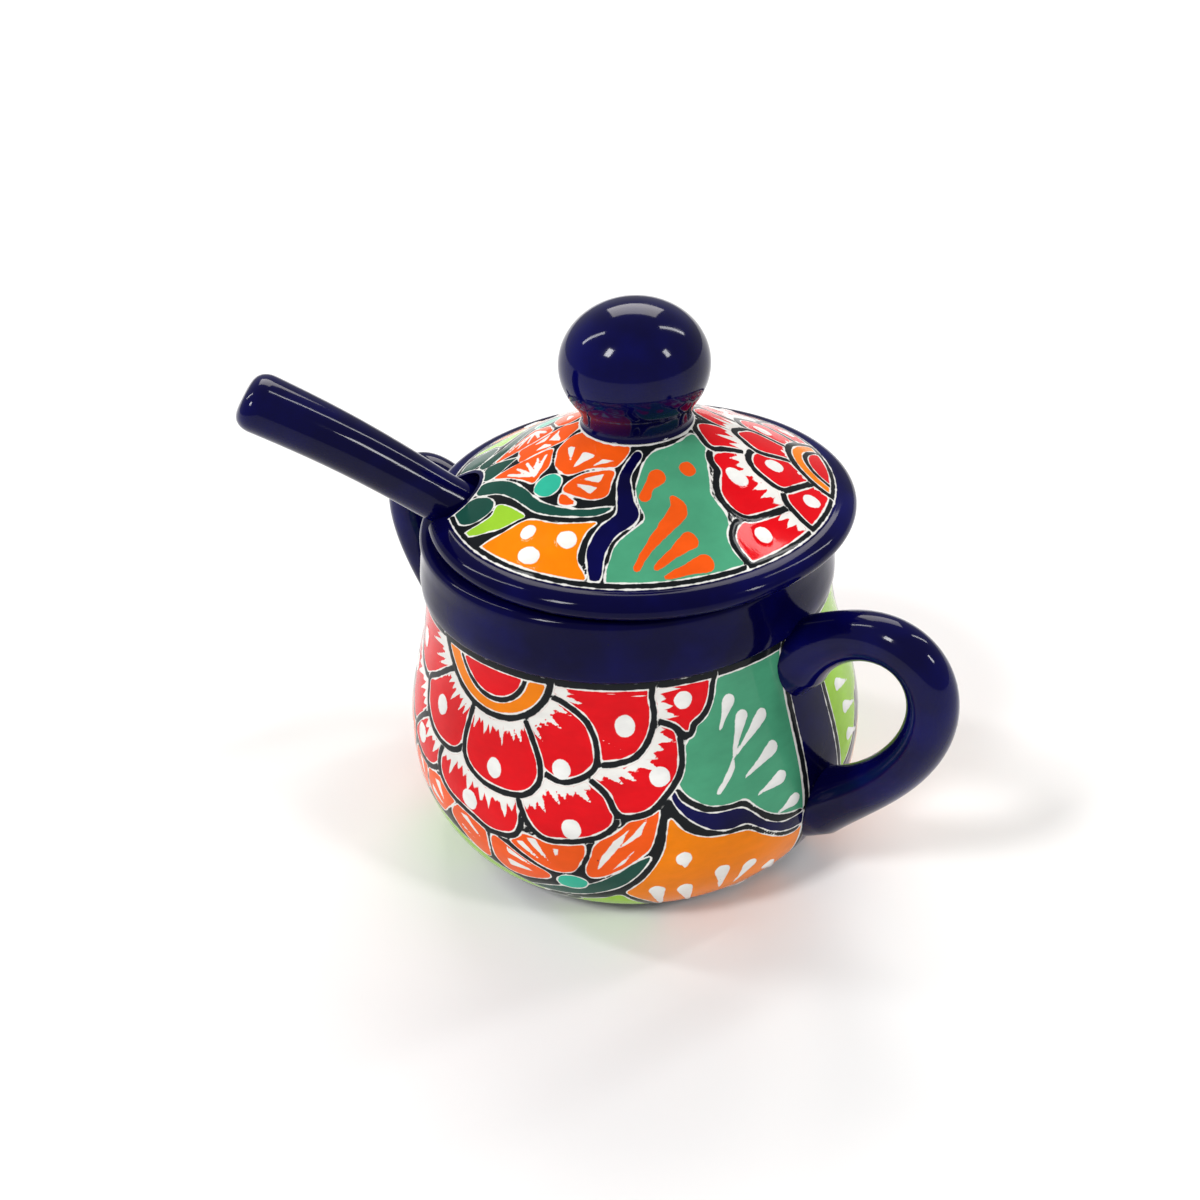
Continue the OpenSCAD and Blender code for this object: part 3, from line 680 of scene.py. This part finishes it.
def cobalt_colour(tree):
    """Cobalt, brighter where the coat runs thin."""
    thin = ranged(tree, noise(tree, THIN_SCALE, roughness=0.6), THIN_RANGE)
    return mixed(tree, thin, PAINTS["cobalt"], COBALT_THIN)


def painted_glaze():
    """The pattern's paints over white slip, each edge a little uneven as a brush leaves it."""
    material, tree, shader = new_material("painted_glaze")
    brush = ranged(tree, noise(tree, BRUSH_SCALE), WIDE, BRUSH_DRIFT)
    wash = ranged(tree, noise(tree, WASH_SCALE, 4, 0.6, WASH_STRETCH), MIDDLE, WASH_TONE)
    colour = SLIP_GROUND
    for name, paint in PAINTS.items():
        distance = add(tree, "ShaderNodeAttribute", attribute_name=name).outputs["Fac"]
        uneven = add(tree, "ShaderNodeMath", {0: distance, 1: brush}, operation="ADD").outputs[0]
        if name == "cobalt":
            paint = cobalt_colour(tree)
        covered = ranged(tree, uneven, EDGE_SOFT, (1.0, 0.0), "SMOOTHSTEP")
        colour = mixed(tree, covered, colour, paint)
    where = add(tree, "ShaderNodeTexCoord").outputs["Object"]
    cells = add(tree, "ShaderNodeTexVoronoi", {"Vector": where, "Scale": SPECK_SCALE, "Randomness": 1.0})
    specks = ranged(tree, cells.outputs["Distance"], SPECK_SIZE, SPECK_COVER)
    colour = mixed(tree, specks, colour, PAINTS["ink"])
    washed = add(tree, "ShaderNodeHueSaturation", {"Color": colour, "Value": wash})
    glaze_surface(tree, shader, washed.outputs[0])
    return material


def cobalt_glaze():
    """Plain cobalt glaze, with more gloss than the painted one."""
    material, tree, shader = new_material("cobalt_glaze")
    shader.inputs["Specular IOR Level"].default_value = COBALT_SPECULAR
    glaze_surface(tree, shader, cobalt_colour(tree))
    return material


def bare_clay():
    """Unglazed earthenware of the foot ring."""
    material, tree, shader = new_material("bare_clay")
    grain = ranged(tree, noise(tree, CLAY_SCALE, detail=5, roughness=0.7), MIDDLE)
    pits = add(tree, "ShaderNodeBump", {"Height": grain, "Strength": PIT_STRENGTH, "Distance": PIT_H})
    shader.inputs["Roughness"].default_value = CLAY_ROUGHNESS
    tree.links.new(mixed(tree, grain, CLAY_DARK, CLAY_LIGHT), shader.inputs["Base Color"])
    tree.links.new(pits.outputs[0], shader.inputs["Normal"])
    return material


def floor_material():
    """Plain pale studio floor."""
    material, tree, shader = new_material("pale_floor")
    tone = ranged(tree, noise(tree, FLOOR_SCALE), MIDDLE)
    shader.inputs["Roughness"].default_value = FLOOR_ROUGHNESS
    tree.links.new(mixed(tree, tone, FLOOR_DARK, FLOOR_LIGHT), shader.inputs["Base Color"])
    return material


# Jar
WALL_STEP, JAR_COLUMNS = 0.67, 540
BELLY_ROWS, INSIDE_ROWS, COLLAR_ROWS, LIP_ROWS = 60, 14, 5, 8
RECESS_EDGE, FOOT_EDGE, FOOT_INSET = 0.6, 0.4, 2.0
COLLAR_ROUND = ((1 / 3, 0.1), (5 / 6, 0.5), (1, 0.9))
COLLAR_LOW, COLLAR_HIGH, INSIDE_LOW, INSIDE_HIGH = 3.0, 2.0, 1.2, 4.0
FLOOR_RING_R, COBALT_INSIDE = 20.0, 3.0
BARE_H, BARE_IN = 0.35, 1.0


def belly(inset, base_z, count=BELLY_ROWS):
    """Profile of the belly from the foot to the neck, moved in by the wall."""
    low = arc((FOOT_R - inset, BELLY_Z), BELLY_R - FOOT_R, BELLY_Z - base_z, -90, 0, count)
    t = np.linspace(0, 1, count)[1:]
    high = np.stack([NECK_R - inset + (BELLY_R - NECK_R) * (1 + np.cos(np.pi * t)) / 2,
                     BELLY_Z + (NECK_Z - BELLY_Z) * t], 1)
    return np.vstack([low, high])


def jar_profile():
    """Half sections of the jar: under the foot, the wall and the way up it, the lip, and the inside."""
    under_r = FOOT_R - FOOT_RING
    under = np.array([
        (0, FOOT_RECESS), (under_r - RECESS_EDGE, FOOT_RECESS), (under_r, FOOT_RECESS - RECESS_EDGE),
        (under_r, FOOT_EDGE), (under_r + FOOT_EDGE, 0), (FOOT_R - FOOT_INSET, 0)])
    wall, side = even(belly(0, 0), WALL_STEP)
    round_z = LIP_Z - LIP_ROUND
    lip = np.vstack([
        [(NECK_R + COLLAR_STEP * share, NECK_Z + rise) for share, rise in COLLAR_ROUND],
        np.linspace((COLLAR_R, NECK_Z + COLLAR_LOW), (LIP_R, round_z - COLLAR_HIGH), COLLAR_ROWS),
        arc((LIP_R - LIP_ROUND, round_z), LIP_ROUND, LIP_ROUND, 0, 90, LIP_ROWS),
        arc((MOUTH_R + LIP_ROUND, round_z), LIP_ROUND, LIP_ROUND, 90, 180, LIP_ROWS)])
    inside = np.vstack([
        [(MOUTH_R, round_z - INSIDE_HIGH), (MOUTH_R, NECK_Z + INSIDE_LOW)],
        belly(JAR_WALL, FLOOR_T, INSIDE_ROWS)[::-1], [(FLOOR_RING_R, FLOOR_T), (0, FLOOR_T)]])
    return under, wall, side, lip, inside


def jar_piece(materials):
    """The whole jar skin: foot, painted wall, collar, lip, inside and floor."""
    under, wall, side, lip, inside = jar_profile()
    profile = np.vstack([under, wall, lip, inside])
    first, last = len(under), len(under) + len(wall)
    vertices, faces = revolve(profile, JAR_COLUMNS)
    ring = np.repeat(np.arange(1, len(profile) - 1), JAR_COLUMNS)
    angle = np.tile(np.degrees(circle(JAR_COLUMNS)), len(profile) - 2)
    on_wall = np.nonzero((ring >= first) & (ring < last))[0]
    past_wall = np.nonzero(ring >= last)[0]
    layers = {name: np.full(len(vertices), FAR) for name in PAINTS}
    way_in = lengths(profile[last:])
    glazed_in = way_in[len(lip) - 1] + COBALT_INSIDE
    layers["cobalt"][past_wall] = np.clip(way_in - glazed_in, -FAR, FAR)[ring[past_wall] - last]
    painted = paint_wall(angle[on_wall], side[ring[on_wall] - first], side[-1])
    for name, values in painted.items():
        layers[name][on_wall] = values
    out = np.gradient(wall, axis=0)[:, ::-1] * (1, -1)
    out /= np.linalg.norm(out, axis=1)[:, None]
    push = out[ring[on_wall] - first] * relief(painted)[:, None]
    a = np.radians(angle[on_wall])
    vertices[on_wall] += np.stack([push[:, 0] * np.cos(a), push[:, 0] * np.sin(a), push[:, 1]], 1)
    made = link("painted_jar", vertices, faces)
    store(made, layers)
    smooth(made)
    place_piece(made, "jar_body", "jar", "painted_glaze", *materials)
    centres = np.array([polygon.center for polygon in made.data.polygons]) / MM
    reach = np.linalg.norm(centres[:, :2], axis=1)
    bare = (centres[:, 2] < BARE_H) & (reach > FOOT_R - FOOT_RING - BARE_IN)
    made.data.polygons.foreach_set("material_index", bare.astype(np.int32))


# Handles
ROLL_RINGS, ROLL_SIDES, ROLL_RUNON, SUNK = 150, 48, 0.06, 1.2


def jar_r(z):
    """Radius of the jar's outside at a height up to the neck."""
    if z < BELLY_Z:
        return FOOT_R + (BELLY_R - FOOT_R) * math.sqrt(max(0.0, 1 - ((BELLY_Z - z) / BELLY_Z) ** 2))
    share = min(1.0, (z - BELLY_Z) / (NECK_Z - BELLY_Z))
    return NECK_R + (BELLY_R - NECK_R) * (1 + math.cos(math.pi * share)) / 2


def handle_piece(name, node_name, pull, facing, material):
    """A pulled roll of clay on a cubic curve, swelling where it is pressed on the wall."""
    ends = []
    for z, angle, reach in ((TOP_JOINT_Z, TOP_ANGLE, TOP_PULL), (LOW_JOINT_Z, LOW_ANGLE, LOW_PULL)):
        joint, a = np.array([jar_r(z), z]), math.radians(angle)
        aim = joint + pull * reach * np.array([math.cos(a), math.sin(a)])
        ends += [joint, aim]
    top, top_aim, low, low_aim = ends
    t = np.linspace(-ROLL_RUNON, 1 + ROLL_RUNON, ROLL_RINGS)[:, None]
    s = 1 - t
    middle = s ** 3 * top + 3 * s * s * t * top_aim + 3 * s * t * t * low_aim + t ** 3 * low
    way = np.gradient(middle, axis=0)
    way /= np.linalg.norm(way, axis=1)[:, None]
    out = np.stack([way[:, 1], -way[:, 0]], 1)
    swell = ROLL_R * (1 + PRESS_SWELL * np.minimum(1, np.abs(2 * t - 1)) ** SWELL_POWER)
    b = circle(ROLL_SIDES)
    x = middle[:, :1] + swell * out[:, :1] * np.cos(b)
    z = middle[:, 1:] + swell * out[:, 1:] * np.cos(b)
    y = swell * np.sin(b)
    vertices = np.stack([x, y, z], -1).reshape(-1, 3)
    for v in vertices:
        within = jar_r(v[2]) - SUNK
        reach = math.hypot(v[0], v[1])
        if reach < within:
            v[:2] *= within / reach
    vertices[:, :2] *= facing
    made = link(name, vertices, tube_faces(ROLL_RINGS, ROLL_SIDES))
    smooth(made, ROLL_CREASE)
    place_piece(made, node_name, "jar", "cobalt_glaze", material)


# Lid and knob
LID_COLUMNS, RIM_ROWS, DOME_ROWS, UNDER_ROWS = 420, 26, 60, 16
FLANGE_EDGE, SEAT_ROUND, SEAT_END, UNDER_ROUND, VENT_EDGE = 0.8, 0.3, 1.0, 2.0, 0.4
TOP_DEPTH, RIM_SLACK = 0.2, 0.01
KNOB_SIDES, BALL_ROWS, HOLLOW_ROWS, BLEND_ROWS = 128, 60, 24, 8
KNOB_BLEND, KNOB_FLARE, KNOB_EDGE = 9.0, 0.5, 0.4
LID_CENTRE = turn(NOTCH_ANGLE) @ np.array([-LID_SHIFT, 0.0])
NOTCH_REACH, NOTCH_EDGE, NOTCH_SIDES = LID_R + LID_SHIFT, 1.0, 40


def dome_share(radius):
    """Share of the way from the rim (0) to the knob (1) at a radius."""
    return (RIM_TOP_R - radius) / (RIM_TOP_R - KNOB_NECK_R)


def dome_z(share):
    """Height of the dome's top at a share."""
    return RIM_TOP_Z + DOME_RISE * (share + DOME_BULGE * share * (1 - share))


def dome(count, drop=0.0, low=0.0):
    """Profile of the dome from a share to the knob, lowered by a drop."""
    t = np.linspace(low, 1, count)
    return np.stack([RIM_TOP_R + (KNOB_NECK_R - RIM_TOP_R) * t, dome_z(t) - drop], 1)


def spoon_place(points):
    """Points drawn along the spoon, +X to its outer end, moved to where it leans on the lip."""
    p = np.asarray(points, float)
    c, s = math.cos(SLOPE), math.sin(SLOPE)
    x, z = MOUTH_R + c * p[:, 0] - s * p[:, 2], STEM_Z + s * p[:, 0] + c * p[:, 2]
    return np.column_stack([np.stack([x, p[:, 1]], 1) @ turn(NOTCH_ANGLE).T, z])


def from_notch(points):
    """Distance of points from the walls of the spoon's room, across the spoon."""
    flat = points[:, :2] @ turn(NOTCH_ANGLE)
    x, z = flat[:, 0] - MOUTH_R, points[:, 2] - STEM_Z
    up = np.maximum(0, math.cos(SLOPE) * z - math.sin(SLOPE) * x)
    return np.hypot(flat[:, 1], up) - STEM_R - NOTCH_GAP


def notch_cutter():
    """Closed form of the room for the spoon: round over the handle and open below."""
    r = STEM_R + NOTCH_GAP
    section = np.vstack([arc((0, 0), r, r, 0, 180, NOTCH_SIDES), [(-r, -NOTCH_REACH), (r, -NOTCH_REACH)]])
    rings = [np.column_stack([np.full(len(section), x), section]) for x in (-NOTCH_REACH, NOTCH_REACH)]
    return link("notch_cutter", spoon_place(np.vstack(rings)), tube_faces(2, len(section)))


def lid_profile():
    """Half section of the lid: flange, seat, rolled rim, dome, vent and hollow underside."""
    inner, foot = FLANGE_R - FLANGE_T, LIP_Z - FLANGE_H
    vent_low = KNOB_SEAT_Z - DOME_T
    return np.vstack([
        [(inner, foot + FLANGE_EDGE), (inner + FLANGE_EDGE, foot), (FLANGE_R - FLANGE_EDGE, foot),
         (FLANGE_R, foot + FLANGE_EDGE), (FLANGE_R, LIP_Z - SEAT_ROUND), (FLANGE_R + SEAT_ROUND, LIP_Z),
         (RIM_TOP_R - SEAT_END, LIP_Z)],
        arc((RIM_TOP_R, LIP_Z + RIM_T / 2), RIM_W, RIM_T / 2, -90, 90, RIM_ROWS), dome(DOME_ROWS)[1:],
        [(VENT_R + VENT_EDGE, KNOB_SEAT_Z), (VENT_R, KNOB_SEAT_Z - VENT_EDGE),
         (VENT_R, vent_low + VENT_EDGE), (VENT_R + VENT_EDGE, vent_low)],
        dome(UNDER_ROWS, DOME_T, dome_share(inner))[::-1], [(inner, LIP_Z - UNDER_ROUND)]])


def lid_piece(material):
    """The painted lid, with the notch cut in its edge and cobalt on all but its top."""
    vertices, faces = revolve(lid_profile(), LID_COLUMNS)
    vertices[:, :2] += LID_CENTRE
    made = link("painted_lid", vertices, faces)
    combine(made, notch_cutter(), "DIFFERENCE")
    co = np.zeros(len(made.data.vertices) * 3, np.float32)
    made.data.vertices.foreach_get("co", co)
    co = co.reshape(-1, 3) / MM
    plan = co[:, :2] - LID_CENTRE
    radius = np.linalg.norm(plan, axis=1)
    top = dome_z(np.clip(dome_share(radius), 0, 1))
    on_top = (co[:, 2] > top - TOP_DEPTH) & (radius < RIM_TOP_R + RIM_SLACK)
    work = paint_lid(plan)
    work.patch("cobalt", from_notch(co) - NOTCH_EDGE)
    for name, values in work.layers.items():
        values[~on_top] = -FAR if name == "cobalt" else FAR
    co[:, 2] += np.where(on_top, relief(work.layers), 0)
    made.data.vertices.foreach_set("co", (co * MM).astype(np.float32).ravel())
    store(made, work.layers)
    smooth(made)
    place_piece(made, "lid", "lid_assembly", "painted_glaze", material)


def knob_piece(material):
    """The hollow ball knob on its neck, open below to the lid's vent."""
    start = -math.degrees(math.acos(KNOB_NECK_R / KNOB_R))
    outer = arc((0, BALL_Z), KNOB_R, KNOB_HALF_H, start + KNOB_BLEND, 90, BALL_ROWS)
    hollow = arc((0, BALL_Z), KNOB_R - KNOB_WALL, KNOB_HALF_H - KNOB_WALL, 90, start, HOLLOW_ROWS)
    corner = np.array([KNOB_NECK_R + KNOB_FLARE / 2, KNOB_SEAT_Z + KNOB_NECK_H])
    low = np.array([KNOB_NECK_R, KNOB_SEAT_Z + KNOB_NECK_H / 3])
    t = np.linspace(0, 1, BLEND_ROWS + 1)[:-1, None]
    blend = (1 - t) ** 2 * low + 2 * t * (1 - t) * corner + t * t * outer[0]
    foot = np.array([(KNOB_NECK_R + KNOB_FLARE, KNOB_SEAT_Z),
                     (KNOB_NECK_R + KNOB_FLARE / 3, KNOB_SEAT_Z + KNOB_EDGE)])
    vent = [(VENT_R, hollow[-1][1]), (VENT_R, KNOB_SEAT_Z)]
    vertices, faces = revolve(np.vstack([hollow, vent, foot, blend, outer]), KNOB_SIDES)
    vertices[:, :2] += LID_CENTRE
    made = link("ball_knob", vertices, faces)
    smooth(made)
    place_piece(made, "lid_knob", "lid_assembly", "cobalt_glaze", material)


# Spoon
STEM_SIDES, STEM_RINGS, END_RINGS = 56, 90, 16
BOWL_SIDES, BOWL_ROWS, CUP_ROWS = 96, 30, 24


def stem_ring(x, share):
    """A ring of the handle at a distance from the lip, drawn in by a share at the blunt end."""
    out, within = max(0.0, x / SPOON_OUT), max(0.0, -x / SPOON_IN)
    taper = (STEM_R - ROOT_R) * within
    wide, thick = (STEM_R + (grip - STEM_R) * out - taper for grip in (GRIP_W, GRIP_T))
    rise = STEM_BOW * math.sin(math.pi * max(0.0, x) / SPOON_OUT)
    b = circle(STEM_SIDES)
    y, z = share * wide * np.cos(b), rise + share * thick * np.sin(b)
    return np.column_stack([np.full(STEM_SIDES, x), y, z])


def bowl_rings(inset, count):
    """Rings of the bowl's oval form from its bottom to its rim, moved in by an inset."""
    b = circle(BOWL_SIDES)
    depth = BOWL_D - inset
    rings = []
    for a in np.linspace(-math.pi / 2, math.asin(BOWL_RIM / depth), count)[1:]:
        x, y = (BOWL_L - inset) * math.cos(a) * np.cos(b), (BOWL_W - inset) * math.cos(a) * np.sin(b)
        rings.append(np.column_stack([x, y, np.full(BOWL_SIDES, depth * math.sin(a))]))
    return rings


def bowl_shell():
    """The spoon's bowl: an oval cup of even thickness, cut level at its rim."""
    rings = bowl_rings(0, BOWL_ROWS) + bowl_rings(BOWL_T, CUP_ROWS)[::-1]
    places = spoon_place(np.vstack(rings) + (BOWL_X, 0, 0))
    return link("bowl_shell", places, tube_faces(len(rings), BOWL_SIDES))


def spoon_piece(material):
    """The spoon: a tapering, slightly bowed handle with a blunt end, joined to its bowl."""
    rings = [stem_ring(x, 1.0) for x in np.linspace(-SPOON_IN, SPOON_OUT - END_L, STEM_RINGS)]
    for k in range(1, END_RINGS + 1):
        a = math.radians(END_SWEEP * k / END_RINGS)
        rings.append(stem_ring(SPOON_OUT - END_L + END_L * math.sin(a), math.cos(a) ** END_BLUNT))
    made = link("sugar_spoon", spoon_place(np.vstack(rings)), tube_faces(len(rings), STEM_SIDES))
    combine(made, bowl_shell(), "UNION")
    smooth(made)
    place_piece(made, "spoon", "spoon_body", "cobalt_glaze", material)


# Stage: floor, light and camera
FLOOR_HALF, LIGHT_DISTANCE, WORLD_STRENGTH = 14.0, 7.0, 0.35
WHITE, WARM = (1, 1, 1), (1, 0.96, 0.92)
CAMERA_TURN, CAMERA_ELEVATION, CAMERA_DISTANCE = 40.5, 33.159, 297.8
CAMERA_AIM_Z, CAMERA_PITCH, CAMERA_YAW, CAMERA_ROLL = 60.0, 0.162, 1.631, -3.897
CAMERA_LENS, CAMERA_SENSOR, CLIP_START = 36.0, 36.0, 0.01

# Lights: turn from the camera and height in degrees, size in metres, power in watts, and colour
LIGHTS = {
    "key_softbox": (-55, 48, (1.0, 1.5), 200, WHITE),
    "fill_softbox": (62, 38, (0.8, 1.4), 110, WHITE),
    "left_strip": (-112, 44, (0.45, 3.6), 95, WHITE),
    "right_strip": (118, 44, (0.45, 3.6), 95, WHITE),
    "back_softbox": (176, 44, (4.6, 3.0), 260, WARM),
}


def floor_piece():
    """The pale floor, a plain square far wider than the jar."""
    corners = np.array([(-1, -1, 0), (1, -1, 0), (1, 1, 0), (-1, 1, 0)]) * FLOOR_HALF / MM
    made = link("floor", corners, [(0, 1, 2, 3)])
    made.data.materials.append(floor_material())


def softbox(name, azimuth, elevation, size, power, colour):
    """An area light aimed at the jar; azimuth 0 is in front of it, on -Y."""
    light = bpy.data.lights.new(name, "AREA")
    light.shape, light.energy, light.color = "RECTANGLE", power, colour
    light.size, light.size_y = size
    made = bpy.data.objects.new(name, light)
    a, e = math.radians(azimuth - 90), math.radians(elevation)
    target = Vector((0, 0, CAMERA_AIM_Z * MM))
    way = Vector((math.cos(a) * math.cos(e), math.sin(a) * math.cos(e), math.sin(e)))
    made.location = target + LIGHT_DISTANCE * way
    made.rotation_euler = (target - made.location).to_track_quat("-Z", "Y").to_euler()
    bpy.context.scene.collection.objects.link(made)


def studio():
    """Even white surroundings and the soft lights, with colours shown as they are."""
    world = bpy.data.worlds.new("studio")
    world.use_nodes = True
    background = world.node_tree.nodes["Background"]
    background.inputs["Color"].default_value = (1, 1, 1, 1)
    background.inputs["Strength"].default_value = WORLD_STRENGTH
    bpy.context.scene.world = world
    for name, (azimuth, *rest) in LIGHTS.items():
        softbox(name, CAMERA_TURN + azimuth, *rest)
    bpy.context.scene.view_settings.view_transform = "Standard"


def camera():
    """The camera at the photograph's viewing angle."""
    e = math.radians(CAMERA_ELEVATION)
    spot = Vector((0, -CAMERA_DISTANCE * math.cos(e), CAMERA_DISTANCE * math.sin(e) + CAMERA_AIM_Z))
    turned = Matrix.Rotation(math.radians(CAMERA_TURN), 3, "Z")
    level = Matrix(((1, 0, 0), (0, 0, -1), (0, 1, 0)))
    aim = (Matrix.Rotation(math.radians(CAMERA_ROLL), 3, "Z")
           @ Matrix.Rotation(math.radians(CAMERA_ELEVATION + CAMERA_PITCH), 3, "X")
           @ Matrix.Rotation(math.radians(CAMERA_YAW), 3, "Y") @ level @ turned.transposed())
    right, down, ahead = aim
    basis = Matrix((right, -down, -ahead)).transposed().to_4x4()
    data = bpy.data.cameras.new("photo_camera")
    data.lens, data.sensor_width, data.sensor_fit = CAMERA_LENS, CAMERA_SENSOR, "HORIZONTAL"
    data.clip_start = CLIP_START
    made = bpy.data.objects.new("photo_camera", data)
    made.matrix_world = Matrix.Translation(turned @ spot * MM) @ basis
    bpy.context.scene.collection.objects.link(made)
    bpy.context.scene.camera = made


painted, cobalt = painted_glaze(), cobalt_glaze()
jar_piece((painted, bare_clay()))
handle_piece("loop_handle_right", "right_handle", 1.0, 1, cobalt)
handle_piece("loop_handle_left", "left_handle", LEFT_PULL, -1, cobalt)
lid_piece(painted)
knob_piece(cobalt)
spoon_piece(cobalt)
floor_piece()
studio()
camera()
